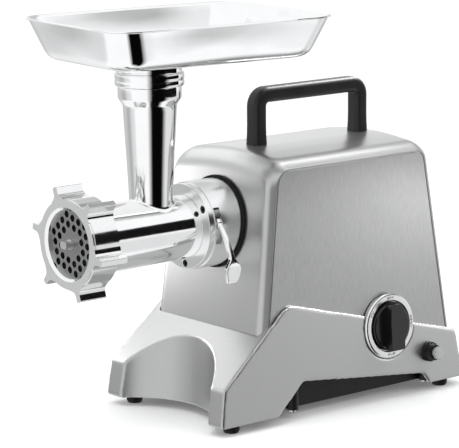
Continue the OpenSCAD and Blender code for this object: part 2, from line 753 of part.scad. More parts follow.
// Cable gland through the back wall, with a clear way for an 8 mm lead
module cord_gland() {
    nut = 5;
    color(black_plastic) from_face() on_back() difference() {
        union() {
            translate([0, 0, -12]) cylinder(r = 6.9, h = 16);
            translate([0, 0, 0.05]) cylinder(r1 = 9.5, r2 = 8.5, h = 4);
            translate([0, 0, -base_wall - 0.1 - nut]) cylinder(r = 9.5, h = nut, $fn = 6);
        }
        translate([0, 0, -20]) cylinder(r = 4, h = 40);
    }
}

// ---- grinding head ---------------------------------------------------------------------

barrel_rear_r = 31;
barrel_nose_r = 33;
thread_r = 39;
recess_r = plate_d / 2 + 0.25;
module head_tube() {
    neck_low = axis_z + 12;
    cup_low = 315;
    cup_r = 30.6;
    color(polished) from_face() difference() {
        union() {
            ahead(spigot_back) cylinder(r = spigot_r, h = collar_front - spigot_back, $fn = 96);
            ahead(collar_front) cylinder(r1 = barrel_rear_r, r2 = barrel_nose_r,
                h = nut_back - 2 - collar_front, $fn = 96);
            ahead(nut_back - 2) cylinder(r1 = barrel_nose_r, r2 = thread_r, h = 2, $fn = 96);
            ahead(nut_back) cylinder(r = thread_r, h = barrel_front - nut_back, $fn = 96);
            translate([0, -neck_ahead, 0]) {
                translate([0, 0, neck_low]) cylinder(r1 = 20.8, r2 = 26.2, h = cup_low - neck_low, $fn = 96);
                translate([0, 0, cup_low]) cylinder(r1 = 26.2, r2 = cup_r, h = 6, $fn = 96);
                translate([0, 0, cup_low + 6]) cylinder(r = cup_r, h = neck_top - cup_low - 6, $fn = 96);
            }
        }
        ahead(0) cylinder(r = barrel_bore_r, h = 200, $fn = 96);
        ahead(recess_back) cylinder(r = recess_r, h = 60, $fn = 96);
        key_block();
        translate([0, -neck_ahead, 0]) {
            translate([0, 0, axis_z]) cylinder(r = 18.5, h = 200, $fn = 96);
            translate([0, 0, neck_low + 20]) cylinder(r1 = 18.5, r2 = 22.5, h = 319 - neck_low - 20, $fn = 96);
            translate([0, 0, 318]) cylinder(r = 28 + run_fit, h = 60, $fn = 96);
        }
    }
}
// Key that stops the plate from turning, set in the nose of the barrel
module key_block() {
    ahead(barrel_front - 6) rotate([0, 0, -90]) translate([recess_r - 1.2, -1.5, 0]) cube([3, 3, 6]);
}
module plate_key() { color(steel) from_face() key_block(); }
module auger() {
    core_r = 11;
    flight_r = barrel_bore_r - 0.7;
    flight = [for (i = [-4:4]) flight_r * [cos(i * 7), sin(i * 7)]];
    length = plate_front - plate_t - 10 - 10;
    color(cast_metal) from_face() ahead(10) {
        linear_extrude(length - 12, twist = -360 * (length - 12) / screw_lead, slices = 60, $fn = 0)
            polygon(concat([[0, 0]], flight));
        cylinder(r = core_r, h = length);
        cylinder(r = 16, h = 4);
    }
}
// Square tail that the spindle drives, and the square and round stud that carries the knife
module auger_stud() {
    color(steel) from_face() {
        ahead(-9) rotate([0, 0, 45]) translate([-drive_square / 2, -drive_square / 2, 0])
            cube([drive_square, drive_square, 19]);
        ahead(plate_front - plate_t - 10) translate([-4.9, -4.9, 0]) cube([9.8, 9.8, 10]);
        difference() {
            ahead(plate_front - plate_t) cylinder(r = stud_r, h = plate_t + 9);
            for (side = [-1, 1]) ahead(plate_front + 2)
                translate([-10, side > 0 ? 3.6 : -13.6, 0]) cube([20, 10, 12]);
        }
    }
}
module cutting_knife() {
    blade_r = 31;
    color(steel) from_face() ahead(plate_front - plate_t - 9.9) difference() {
        union() {
            cylinder(r = 9.5, h = 9.8);
            for (a = [0:90:270]) rotate([0, 0, a + 20]) rotate([90, 0, 90]) linear_extrude(blade_r)
                polygon([[-5, 2], [-3, 9.8], [4, 9.8], [2, 2]]);
        }
        translate([-5, -5, -1]) cube([10, 10, 12]);
    }
}
// Hole places of the plate: a hexagonal lattice without its inner seven
function lattice() = [for (i = [-3:3], j = [-3:3])
    let (p = [i + j / 2, j * sqrt(3) / 2], d = norm(p)) if (d > 1.5 && d < 3.1) p];
module grinding_plate() {
    lattice_turn = 43;
    color(steel) from_face() ahead(plate_front - plate_t) difference() {
        cylinder(r = plate_d / 2, h = plate_t, $fn = 96);
        translate([0, 0, -1]) cylinder(r = stud_r + run_fit, h = 20);
        for (p = lattice()) rotate([0, 0, lattice_turn]) translate([p[0] * plate_pitch, p[1] * plate_pitch, -1])
            cylinder(r = plate_hole_d / 2, h = 20, $fn = 32);
        rotate([0, 0, -90]) translate([plate_d / 2 - 1.5, -1.9, -1]) cube([5, 3.8, 20]);
    }
}
module ring_nut() {
    lip_r = 33;
    lugs = 6;
    first_lug = 49;
    depth = nut_front - nut_back;
    lug = rounded([[38, -9], [42.8, -9.6], [45.8, -3.5], [55.5, -3.1], [55.5, 3.1], [45.8, 3.5], [42.8, 9.6],
        [38, 9]], [0, 0, 6, 1, 1, 6, 0, 0], 5);
    color(polished) from_face() ahead(nut_back) difference() {
        union() {
            cylinder(r = nut_r - 1, h = depth, $fn = 128);
            translate([0, 0, 1]) cylinder(r = nut_r, h = depth - 3, $fn = 128);
            for (i = [0:lugs - 1]) rotate([0, 0, first_lug + i * 360 / lugs]) linear_extrude(depth) polygon(lug);
        }
        translate([0, 0, -1]) cylinder(r = thread_r + run_fit, h = depth - 4, $fn = 128);
        translate([0, 0, -1]) cylinder(r = lip_r, h = depth + 2, $fn = 96);
        translate([0, 0, depth - 2.5]) cylinder(r1 = lip_r, r2 = lip_r + 2.5 + eps, h = 2.5 + eps, $fn = 96);
    }
}

// ---- hopper tray -----------------------------------------------------------------------

tray_mid = -45;
sheet = 1.2;
// Rounded rectangle of the tray, drawn in by d
module tray_slice(d, z, r) {
    w = tray_w / 2 - d;
    l = tray_l / 2 - d;
    translate([0, tray_mid, z]) linear_extrude(0.02)
        polygon(rounded([[-w, -l], [w, -l], [w, l], [-w, l]], [r, r, r, r], 8));
}
// Dished body of the tray between its rim and its floor
module tray_body(d, lift) {
    hull() {
        tray_slice(d, rim_z - 0.02, 26 - d);
        tray_slice(d + 11.5, tray_z + 9 + lift, 24);
        tray_slice(d + 15, tray_z + 3 + lift, 22);
        tray_slice(d + 21, tray_z + lift, 20);
    }
}
module hopper_tray() {
    spout_r = 28;
    color(polished) from_face() translate([0, -neck_ahead, 0]) rotate([0, 0, tray_turn])
    translate([0, neck_ahead, 0]) difference() {
        union() {
            difference() {
                union() {
                    tray_body(1.5, 0);
                    hull() {
                        tray_slice(0, rim_z - 2.4, 26);
                        tray_slice(0, rim_z - 0.4, 26);
                    }
                }
                translate([0, 0, 0.3]) tray_body(1.5 + sheet, sheet);
            }
            translate([0, -neck_ahead, 0]) {
                translate([0, 0, 319]) cylinder(r = spout_r, h = neck_top - 319 + 1, $fn = 96);
                translate([0, 0, neck_top + 0.3]) cylinder(r = 33.3, h = 12.7, $fn = 96);
                translate([0, 0, 346 - eps]) cylinder(r = 31, h = tray_z - 346 + 1, $fn = 96);
            }
        }
        translate([0, -neck_ahead, 300]) cylinder(r = 25.5, h = 80, $fn = 96);
    }
}

upper_housing();
side_panel_left();
side_panel_right();
base_housing();
bottom_cover();
rubber_feet();
foot_screws();
cover_screws();
carry_handle();
handle_screws();
collar_gasket();
head_socket();
collar_plate();
socket_screws();
lever_pin();
gearbox_housing();
gearbox_cover();
gearbox_screws();
spindle_bearings();
shaft_bushes();
motor_sleeve();
motor_cradle();
stator_core();
field_coils();
end_bracket();
motor_bearings();
brush_holders();
carbon_brushes();
through_bolts();
switch_body();
dial_ring();
breaker_body();
breaker_collar();
terminal_block();
cord_gland();
rotor_shaft();
rotor_core();
commutator();
cooling_fan();
motor_pinion();
intermediate_shaft();
intermediate_gear();
intermediate_pinion();
drive_spindle();
output_gear();
head_tube();
plate_key();
auger();
auger_stud();
cutting_knife();
grinding_plate();
ring_nut();
hopper_tray();
lock_lever();
control_knob();
reset_button();
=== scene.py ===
import math

import bmesh
import bpy
import numpy as np
from mathutils import Matrix, Vector


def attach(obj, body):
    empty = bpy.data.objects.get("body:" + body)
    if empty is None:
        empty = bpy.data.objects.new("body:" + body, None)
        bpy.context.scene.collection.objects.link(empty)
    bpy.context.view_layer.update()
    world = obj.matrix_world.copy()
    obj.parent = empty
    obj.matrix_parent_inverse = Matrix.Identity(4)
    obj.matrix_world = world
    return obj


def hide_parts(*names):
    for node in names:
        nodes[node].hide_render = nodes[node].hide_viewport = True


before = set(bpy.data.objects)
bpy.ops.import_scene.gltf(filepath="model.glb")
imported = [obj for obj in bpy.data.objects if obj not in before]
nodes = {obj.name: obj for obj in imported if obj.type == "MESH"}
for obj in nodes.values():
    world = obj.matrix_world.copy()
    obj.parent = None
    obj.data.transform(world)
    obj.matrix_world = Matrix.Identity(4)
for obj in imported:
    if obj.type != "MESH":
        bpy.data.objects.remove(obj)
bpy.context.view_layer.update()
scene = bpy.context.scene

# Shapes are in millimetres, in the builder's working coordinates: y runs back from the
# socket face, which lies FACE ahead of the frame's origin.
MM = 0.001
FACE = 96.4
AXIS_Z = 191.0              # the grinding axis, level
NECK_Y = -79.0              # the feed neck's axis, upright

# Cowl: a wall is its y at a height and the growth of y per mm of height
COWL_FRONT = (-7.4, 110.0, 0.1114)
COWL_REAR = (246.8, 61.0, -0.152)
COWL_LOW = 55.0
COWL_SHEET = 2.5
SIDE_FOOT = 100.0           # height at which the stations' widths hold
SIDE_SLOPE = math.tan(math.radians(2))
SOCKET_HOLE_R = 43.2
SWITCH_HOLE_R = 22.0
VENTS, VENT_LOW, VENT_PITCH, VENT_X = 7, 151.8, 12.0, 34.0
VENT_SIZE = (44.0, 3.6, 1.7)        # length, height, corner radius

# Base: half width at the height WALL_FOOT, and how much the walls lean in per mm of height
WALL_HALF, WALL_FOOT, WALL_SLOPE = 91.2, 10.0, 0.06
WALL_LEAN = math.atan(WALL_SLOPE)
DIAL_AT = (154.0, 76.8)     # y and z of the rotary switch
SKIN_VOXEL, SKIN_ROUNDS = 1.3, 8

# Black tub: the plain wall inside its ribs, which are cut away
TUB_WALL, RIB_DEPTH = 72.02, 3.0
RIB_Y, RIB_Z = (60.0, 200.0), (8.0, 52.0)

# Carry handle
HANDLE_LEGS = (54.75, 190.25)
HANDLE_BAR = (17.5, 15.5, 5.0)      # width, thickness, corner radius
HANDLE_SEAT, HANDLE_BAR_Z, HANDLE_BEND = 258.0, 310.75, 11.25
HANDLE_FLARE = ((0, 1.09), (6, 1.07), (14, 1.02), (24, 1.0))    # height above the seat, growth

# Head: the rounded root is where the neck meets the barrel
NECK_BORE = 18.5
ROOT_NECK_R, ROOT_BARREL_R, ROOT_FILLET = 21.1, 31.9, 2.6
KEY_SLOT = ((-1.6, -38), (1.6, -38), (1.6, -34), (-1.6, -34))

# Tray, turned on its spout, with sides that bow out a little above the floor
TRAY_HALF = (92.25, 127.0)
TRAY_MID_Y = -45.0
TRAY_TURN = math.radians(-5.2)
TRAY_BOW, TRAY_FLOOR, TRAY_DEPTH = 2.0, 357.0, 40.0
SPOUT_BORE = 25.5

# Lock lever
LEVER_PIN = (39.5, 198.0)   # x and z
LEVER_Y = -28.9

# Polished metal is duller behind COLLARS_Y and below COLLARS_Z, and sharper above TRAY_Z
COLLARS_Y, COLLARS_Z, TRAY_Z = -40.3, 245.0, 345.0

# Rows of specks on the dial: middle angle and half width in degrees, all in one band
SPECK_ROWS = ((88, 9), (148, 7), (2, 13), (-88, 12))
SPECK_R, SPECK_HALF = 28.6, 1.4

# Camera and studio, in degrees and metres
CAM_AZ, CAM_EL, CAM_ROLL = 50.23, 10.85, -0.37
CAM_LENS, CAM_SENSOR = 195.36, 36
CAM_TARGET, CAM_DISTANCE = (0.01726, -0.0917, 0.18988), 2.4407
FLOOR_SIZE, FLOOR_SQUARES, FLOOR_GLOW = 30.0, 24, 0.12
FLAG_TURN, FLAG_OUT, FLAG_HALF, FLAG_SQUARES = 82, 0.62, 0.36, 8
FLAG_FROM, FLAG_LOW, FLAG_HIGH = (0, -0.16, 0), 0.2, 0.5


# ---- mesh helpers ----------------------------------------------------------------------

def make(name, verts, faces):
    """A new object from points in working millimetres."""
    mesh = bpy.data.meshes.new(name)
    mesh.from_pydata([(x * MM, (y - FACE) * MM, z * MM) for x, y, z in verts], [], faces)
    mesh.validate()
    mesh.update()
    return link_new(name, mesh)


def link_new(name, mesh):
    obj = bpy.data.objects.new(name, mesh)
    scene.collection.objects.link(obj)
    return obj


def join(*parts):
    """One pair of vertices and faces out of several."""
    verts, faces = [], []
    for v, f in parts:
        faces += [tuple(i + len(verts) for i in face) for face in f]
        verts += v
    return verts, faces


def shell(name, *parts):
    """A new object of closed parts, with their faces turned outwards."""
    obj = make(name, *join(*parts))
    bm = bmesh.new()
    bm.from_mesh(obj.data)
    bmesh.ops.recalc_face_normals(bm, faces=bm.faces)
    bm.to_mesh(obj.data)
    bm.free()
    return obj


def grid_plane(name, corner, along, up, n):
    """A flat sheet of n by n squares, from its corner along two edges, in row-frame metres."""
    points = [corner + along * (i / n) + up * (j / n) for j in range(n + 1) for i in range(n + 1)]
    faces = [(j * (n + 1) + i, j * (n + 1) + i + 1, (j + 1) * (n + 1) + i + 1, (j + 1) * (n + 1) + i)
             for j in range(n) for i in range(n)]
    return make(name, [(p.x / MM, p.y / MM + FACE, p.z / MM) for p in points], faces)


def copy_of(node, join_flat=False):
    """A new object with a CAD node's mesh; join_flat makes clean faces of its flat triangles."""
    bm = bmesh.new()
    bm.from_mesh(nodes[node].data)
    bmesh.ops.remove_doubles(bm, verts=bm.verts, dist=2e-6)
    if join_flat:
        bmesh.ops.dissolve_limit(bm, angle_limit=math.radians(0.6), verts=bm.verts, edges=bm.edges)
    mesh = bpy.data.meshes.new(node + "_fine")
    bm.to_mesh(mesh)
    bm.free()
    return link_new(node + "_fine", mesh)


def absorb(obj, other):
    """Adds the other object's mesh to obj and removes the other."""
    bm = bmesh.new()
    bm.from_mesh(obj.data)
    bm.from_mesh(other.data)
    bm.to_mesh(obj.data)
    bm.free()
    bpy.data.objects.remove(other)


def set_sharp(mesh, angle):
    """Smooth shading that breaks where faces meet at more than the angle, in degrees."""
    bm = bmesh.new()
    bm.from_mesh(mesh)
    limit = math.radians(angle)
    for f in bm.faces:
        f.smooth = True
    for e in bm.edges:
        e.smooth = not (len(e.link_faces) == 2 and e.calc_face_angle(0) > limit)
    bm.to_mesh(mesh)
    bm.free()


def apply_modifiers(obj):
    dg = bpy.context.evaluated_depsgraph_get()
    dg.update()
    done = bpy.data.meshes.new_from_object(obj.evaluated_get(dg))
    obj.modifiers.clear()
    old, obj.data = obj.data, done
    bpy.data.meshes.remove(old)


def cut(obj, *parts):
    """Takes closed parts out of obj."""
    cutter = shell("cutter", *parts)
    m = obj.modifiers.new("cut", "BOOLEAN")
    m.operation, m.solver, m.object = "DIFFERENCE", "EXACT", cutter
    apply_modifiers(obj)
    bpy.data.objects.remove(cutter)


def finish_piece(obj, node, body, slot, angle, bevel=0, segments=2, weight=True):
    """Material, body and shading of the piece that replaces a CAD node; bevel is in mm."""
    obj.data.materials.clear()
    obj.data.materials.append(MATS[slot])
    set_sharp(obj.data, angle)
    if bevel:
        m = obj.modifiers.new("edges", "BEVEL")
        m.width, m.segments, m.limit_method = bevel * MM, segments, "ANGLE"
        m.angle_limit, m.use_clamp_overlap = math.radians(angle), True
        m.miter_outer = "MITER_ARC"
    if weight:
        m = obj.modifiers.new("normals", "WEIGHTED_NORMAL")
        m.keep_sharp, m.weight = True, 70
    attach(obj, body)
    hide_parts(node)


def refine(node, slot, body, bevel, segments, cuts=()):
    """Replaces a CAD node with its own shape in clean faces, less the cuts, with softened edges."""
    obj = copy_of(node, join_flat=True)
    for part in cuts:
        cut(obj, part)
    finish_piece(obj, node, body, slot, 32, bevel, segments)


def loft(rings, close_ring=True, cap=True):
    """Vertices and faces of equal rings joined in a row, with its two ends capped."""
    n = len(rings[0])
    verts = [p for r in rings for p in r]
    faces = []
    for i in range(len(rings) - 1):
        for j in range(n if close_ring else n - 1):
            k = (j + 1) % n
            faces.append((i * n + j, i * n + k, (i + 1) * n + k, (i + 1) * n + j))
    if cap:
        last = (len(rings) - 1) * n
        faces += [tuple(range(n))[::-1], tuple(range(last, last + n))]
    return verts, faces


def loft_round(rings):
    """Vertices and faces of equal rings joined in a row, and the last one to the first."""
    verts, faces = loft(rings + [rings[0]], True, False)
    count = len(rings) * len(rings[0])
    return verts[:count], [tuple(v % count for v in f) for f in faces]


def lathe(profile, place, n=128):
    """Closed (radius, height) profile turned about local +Z; place maps local to working mm."""
    rings = []
    for i in range(n):
        a = 2 * math.pi * i / n
        rings.append([place(r * math.cos(a), r * math.sin(a), h) for r, h in profile])
    return loft_round(rings)


def prism(points, place, z0, z1):
    return loft([[place(x, y, z) for x, y in points] for z in (z0, z1)])


def circle(r, n=64):
    return [(r * math.cos(2 * math.pi * i / n), r * math.sin(2 * math.pi * i / n)) for i in range(n)]


def fillet(points, radii, steps=5, closed=True):
    """Outline with each corner rounded by its own radius."""
    out, n = [], len(points)
    for i, (c, r) in enumerate(zip(points, radii)):
        if r <= 0 or (not closed and i in (0, n - 1)):
            out.append(tuple(c))
            continue
        p, q, c = Vector(points[i - 1]), Vector(points[(i + 1) % n]), Vector(c)
        u, v = (p - c).normalized(), (q - c).normalized()
        half = u.angle(v) / 2
        mid = c + (u + v).normalized() * (r / math.sin(half))
        a, b = c + u * (r / math.tan(half)) - mid, c + v * (r / math.tan(half)) - mid
        a0, a1 = math.atan2(a.y, a.x), math.atan2(b.y, b.x)
        sweep = (a1 - a0 + 3 * math.pi) % (2 * math.pi) - math.pi
        for k in range(steps + 1):
            t = a0 + sweep * k / steps
            out.append((mid.x + r * math.cos(t), mid.y + r * math.sin(t)))
    return out


def rounded_box(w, t, r, steps):
    return fillet([(-w / 2, -t / 2), (w / 2, -t / 2), (w / 2, t / 2), (-w / 2, t / 2)], [r] * 4, steps)


def spaced(a, b, n):
    """n points from a up to but not including b."""
    return [(a[0] + (b[0] - a[0]) * i / n, a[1] + (b[1] - a[1]) * i / n) for i in range(n)]


# Placements: each maps a shape's local x, y and z to working coordinates

def ahead(x, y, z):
    """Local +Z ahead along the grinding axis, from the socket face."""
    return x, -z, AXIS_Z + y


def behind(x0, z0):
    """Local +Z to the rear."""
    return lambda x, y, z: (x + x0, z, z0 + y)


def upright(y0):
    return lambda x, y, z: (x, y + y0, z)


def on_wall(at):
    """Local +Z out of the right-hand wall of the base."""
    a = math.pi / 2 - WALL_LEAN
    ca, sa = math.cos(a), math.sin(a)
    x0 = WALL_HALF - (at[1] - WALL_FOOT) * WALL_SLOPE
    return lambda x, y, z: (x0 + x * ca + z * sa, at[0] + y, at[1] - x * sa + z * ca)


# ---- materials -------------------------------------------------------------------------

class Nodes:
    """Short names for building a node tree."""

    def __init__(self, tree):
        self.tree = tree

    def add(self, kind, **props):
        node = self.tree.nodes.new(kind)
        for key, value in props.items():
            setattr(node, key, value)
        return node

    def link(self, a, b):
        self.tree.links.new(a, b)

    def calc(self, op, a, b=None, clamp=False):
        node = self.add("ShaderNodeMath", operation=op, use_clamp=clamp)
        for k, value in enumerate((a, b)):
            if isinstance(value, bpy.types.NodeSocket):
                self.link(value, node.inputs[k])
            elif value is not None:
                node.inputs[k].default_value = value
        return node.outputs[0]


class Material(Nodes):
    """Short names for building a material."""

    def __init__(self, name):
        self.mat = bpy.data.materials.new(name)
        self.mat.use_nodes = True
        super().__init__(self.mat.node_tree)
        self.shader = self.tree.nodes["Principled BSDF"]

    def coords(self, scale):
        """Object coordinates stretched by scale (per metre)."""
        tex = self.add("ShaderNodeTexCoord")
        mapping = self.add("ShaderNodeMapping")
        mapping.inputs["Scale"].default_value = scale
        self.link(tex.outputs["Object"], mapping.inputs["Vector"])
        return mapping.outputs["Vector"]

    def axes(self, vector):
        """The X, Y and Z of a vector, by name."""
        node = self.add("ShaderNodeSeparateXYZ")
        self.link(vector, node.inputs[0])
        return node.outputs

    def noise(self, scale, detail=3.0, rough=0.55):
        node = self.add("ShaderNodeTexNoise")
        node.inputs["Scale"].default_value = 1.0
        node.inputs["Detail"].default_value = detail
        node.inputs["Roughness"].default_value = rough
        self.link(self.coords(scale), node.inputs["Vector"])
        return node.outputs["Fac"]

    def spread(self, fac, low, high, lo_in=0.3, hi_in=0.7):
        """A number between low and high that follows fac."""
        node = self.add("ShaderNodeMapRange")
        for key, value in zip(("From Min", "From Max", "To Min", "To Max"), (lo_in, hi_in, low, high)):
            node.inputs[key].default_value = value
        self.link(fac, node.inputs["Value"])
        return node.outputs["Result"]

    def tint(self, fac, a, b):
        node = self.add("ShaderNodeMix", data_type="RGBA")
        node.inputs[6].default_value = (*a, 1)
        node.inputs[7].default_value = (*b, 1)
        self.link(fac, node.inputs[0])
        return node.outputs[2]

    def bump(self, fac, height_mm, strength):
        node = self.add("ShaderNodeBump")
        node.inputs["Strength"].default_value = strength
        node.inputs["Distance"].default_value = height_mm * MM
        self.link(fac, node.inputs["Height"])
        return node.outputs["Normal"]

    def set(self, **values):
        for key, value in values.items():
            socket = self.shader.inputs[key.replace("_", " ")]
            if isinstance(value, bpy.types.NodeSocket):
                self.link(value, socket)
            else:
                socket.default_value = value
        return self.mat


def grey(v):
    return (v, v, v)


def paint(name, low, high, rough):
    """Satin silver paint: fine metal flake, and slow changes of gloss."""
    m = Material(name)
    flake = m.noise((2600, 2600, 2600), 2)
    broad = m.noise((14, 14, 14), 2)
    m.set(Base_Color=m.tint(m.spread(flake, 0, 1), grey(low), grey(high)), Metallic=0.95)
    return m.set(Roughness=m.spread(broad, rough - 0.01, rough + 0.01, 0.2, 0.8),
                 Normal=m.bump(flake, 0.012, 0.5))


def brushed(name, low, high, rough, along, height=0.006):
    """Brushed or ground steel: fine lines along one axis."""
    m = Material(name)
    scale = [2400, 2400, 2400]
    scale[along] = 60
    lines = m.noise(scale, 4, 0.7)
    broad = m.noise((20, 20, 20), 2)
    m.set(Base_Color=m.tint(m.spread(lines, 0, 1), grey(low), grey(high)), Metallic=1.0)
    return m.set(Roughness=m.spread(broad, rough - 0.01, rough + 0.02, 0.2, 0.8),
                 Normal=m.bump(lines, height, 0.6))


def turned_gloss(m, gloss):
    """The roughness changed by place: lathe marks on the head's collars, a sharper tray."""
    place, edge = m.axes(m.coords((1, 1, 1))), 0.2 * MM
    collars_y, collars_z, tray_z = (COLLARS_Y - FACE) * MM, COLLARS_Z * MM, TRAY_Z * MM
    collars = m.calc("MULTIPLY", m.spread(place["Y"], 0, 1, collars_y - edge, collars_y),
                     m.spread(place["Z"], 1, 0, collars_z, collars_z + edge))
    marks = m.spread(m.noise((1500, 1500, 1500), 3), 0.2, 0.26)
    gloss = m.calc("MULTIPLY", gloss, m.spread(place["Z"], 1, 0.5, tray_z, tray_z + edge))
    elsewhere = m.calc("MULTIPLY", gloss, m.calc("SUBTRACT", 1.0, collars))
    return m.calc("ADD", elsewhere, m.calc("MULTIPLY", marks, collars))


def polished(name, low, high, rough, marks=0.0006, turned=False):
    """Mirror-polished metal with faint buffing marks; turned_gloss applies if it is turned."""
    m = Material(name)
    broad = m.noise((35, 35, 35), 3)
    buff = m.noise((500, 90, 500), 3)
    gloss = m.spread(buff, rough * 0.8, rough * 1.3)
    if turned:
        gloss = turned_gloss(m, gloss)
    return m.set(Base_Color=m.tint(m.spread(broad, 0, 1), grey(low), grey(high)), Metallic=1.0,
                 Roughness=gloss, Normal=m.bump(buff, marks, 0.5))


def dial_face(name):
    """Bright ring with short rows of specks in place of its lettering."""
    m = Material(name)
    place = m.axes(m.coords((1, 1, 1)))
    along = m.calc("SUBTRACT", place["Y"], (DIAL_AT[0] - FACE) * MM)
    up = m.calc("SUBTRACT", place["Z"], DIAL_AT[1] * MM)
    square = m.calc("ADD", m.calc("MULTIPLY", along, along), m.calc("MULTIPLY", up, up))
    radius = m.calc("SQRT", square)
    turn = m.calc("DEGREES", m.calc("ARCTAN2", up, along))
    rows = None
    for angle, half in SPECK_ROWS:
        row = m.calc("LESS_THAN", m.calc("ABSOLUTE", m.calc("SUBTRACT", turn, angle)), half)
        rows = row if rows is None else m.calc("ADD", rows, row)
    off_band = m.calc("ABSOLUTE", m.calc("SUBTRACT", radius, SPECK_R * MM))
    band = m.calc("LESS_THAN", off_band, SPECK_HALF * MM)
    specks = m.spread(m.noise((900, 900, 900), 1), 0, 1, 0.46, 0.5)
    ink = m.calc("MULTIPLY", m.calc("MULTIPLY", rows, band), specks)
    fine = m.noise((400, 400, 400), 3)
    m.set(Base_Color=m.tint(m.calc("MULTIPLY", ink, 0.8), grey(0.86), grey(0.16)), Metallic=1.0)
    return m.set(Roughness=m.spread(fine, 0.2, 0.26), Normal=m.bump(fine, 0.002, 0.5))


def cast(name, low, high, rough, grain=0.05, metallic=0.9):
    """Cast metal with a fine grain."""
    m = Material(name)
    fine = m.noise((900, 900, 900), 4)
    broad = m.noise((40, 40, 40), 3)
    m.set(Base_Color=m.tint(m.spread(broad, 0, 1), grey(low), grey(high)), Metallic=metallic)
    return m.set(Roughness=m.spread(fine, rough - 0.06, rough + 0.08), Normal=m.bump(fine, grain, 0.6))


def plastic(name, a, b, rough, grain=0.03, spec=0.5, coat=0.0):
    """Moulded plastic or rubber with a fine texture."""
    m = Material(name)
    fine = m.noise((1300, 1300, 1300), 3)
    broad = m.noise((50, 50, 50), 3)
    m.set(Base_Color=m.tint(m.spread(broad, 0, 1), a, b), Specular_IOR_Level=spec)
    m.set(Roughness=m.spread(fine, rough - 0.04, rough + 0.06), Normal=m.bump(fine, grain, 0.5))
    if coat:
        m.set(Coat_Weight=coat, Coat_Roughness=0.05)
    return m.mat


def copper(name):
    """Varnished winding wire: parallel strands."""
    m = Material(name)
    strands = m.noise((1500, 60, 1500), 2)
    colour = m.tint(m.spread(strands, 0, 1), (0.42, 0.16, 0.06), (0.72, 0.34, 0.16))
    return m.set(Base_Color=colour, Metallic=0.8, Roughness=m.spread(strands, 0.3, 0.5),
                 Normal=m.bump(strands, 0.2, 0.7))


def clear_cap(name):
    """Smoky translucent cap."""
    m = Material(name)
    fine = m.noise((600, 600, 600), 2)
    colour = m.tint(m.spread(fine, 0, 1), (0.52, 0.53, 0.53), (0.62, 0.63, 0.63))
    m.set(Base_Color=colour, Roughness=m.spread(fine, 0.16, 0.26), Normal=m.bump(fine, 0.02, 0.4))
    return m.set(Transmission_Weight=0.35, IOR=1.45)


def nut_metal(name):
    """Polished casting whose front annulus is matt."""
    m = Material(name)
    buff = m.noise((500, 90, 500), 3)
    grain = m.noise((1200, 1200, 1200), 3)
    facing = m.axes(m.add("ShaderNodeNewGeometry").outputs["Normal"])
    rough = m.add("ShaderNodeMix", data_type="FLOAT")
    m.link(m.spread(facing["Y"], 1, 0, -0.985, -0.93), rough.inputs[0])
    m.link(m.spread(buff, 0.09, 0.13), rough.inputs[2])
    m.link(m.spread(grain, 0.34, 0.46), rough.inputs[3])
    return m.set(Base_Color=m.tint(m.spread(grain, 0, 1), grey(0.84), grey(0.9)), Metallic=1.0,
                 Roughness=rough.outputs[0], Normal=m.bump(grain, 0.004, 0.4))


MATS = {
    "silver_paint": paint("silver_paint", 0.45, 0.55, 0.32),
    "base_paint": paint("base_paint", 0.43, 0.53, 0.32),
    "brushed_steel": brushed("brushed_steel", 0.38, 0.54, 0.33, 2),
    "polished_steel": polished("polished_steel", 0.9, 0.94, 0.09, turned=True),
    "nut_metal": nut_metal("nut_metal"),
    "lever_metal": polished("lever_metal", 0.86, 0.92, 0.12, 0.004),
    "plate_steel": brushed("plate_steel", 0.3, 0.4, 0.34, 0, 0.004),
    "zinc_steel": cast("zinc_steel", 0.6, 0.72, 0.28, 0.01),
    "dark_steel": cast("dark_steel", 0.02, 0.04, 0.34, 0.01),
    "cast_aluminium": cast("cast_aluminium", 0.5, 0.6, 0.42),
    "bronze": cast("bronze", 0.4, 0.5, 0.36, 0.02, 1.0),
    "copper_wire": copper("copper_wire"),
    "carbon": plastic("carbon", grey(0.02), grey(0.04), 0.6),
    "black_plastic": plastic("black_plastic", (0.004, 0.004, 0.0045), (0.008, 0.008, 0.009), 0.4,
                             0.03, 0.3),
    "charcoal_plastic": plastic("charcoal_plastic", (0.007, 0.007, 0.0075), (0.012, 0.012, 0.0125), 0.42),
    "knob_plastic": plastic("knob_plastic", grey(0.003), grey(0.005), 0.3, 0.008, 0.4, 0.3),
    "white_plastic": plastic("white_plastic", (0.7, 0.7, 0.66), (0.8, 0.8, 0.76), 0.45),
    "clear_cap": clear_cap("clear_cap"),
    "black_rubber": plastic("black_rubber", grey(0.004), grey(0.008), 0.6, 0.05, 0.25),
    "dial_metal": dial_face("dial_metal"),
}


# ---- housing ---------------------------------------------------------------------------

def wall_y(wall, z):
    y, at, slope = wall
    return y + (z - at) * slope


def cowl_outline(inset, top):
    """(y, z) from the lower front edge over the top to the lower back edge, always 61 points."""
    corners = [(wall_y(COWL_FRONT, COWL_LOW) + inset, COWL_LOW), (wall_y(COWL_FRONT, top) + inset, top),
               (wall_y(COWL_REAR, top) - inset, top), (wall_y(COWL_REAR, COWL_LOW) - inset, COWL_LOW)]
    radii = [0, max(4, 25 - inset), max(4, 16 - inset / 2), 0]
    pts = fillet(corners, radii, 11, closed=False)
    front, rear = pts[1:13], pts[13:25]
    return (spaced(pts[0], front[0], 12) + front[:-1] + spaced(front[-1], rear[0], 14)
            + rear[:-1] + spaced(rear[-1], pts[-1], 12) + [pts[-1]])


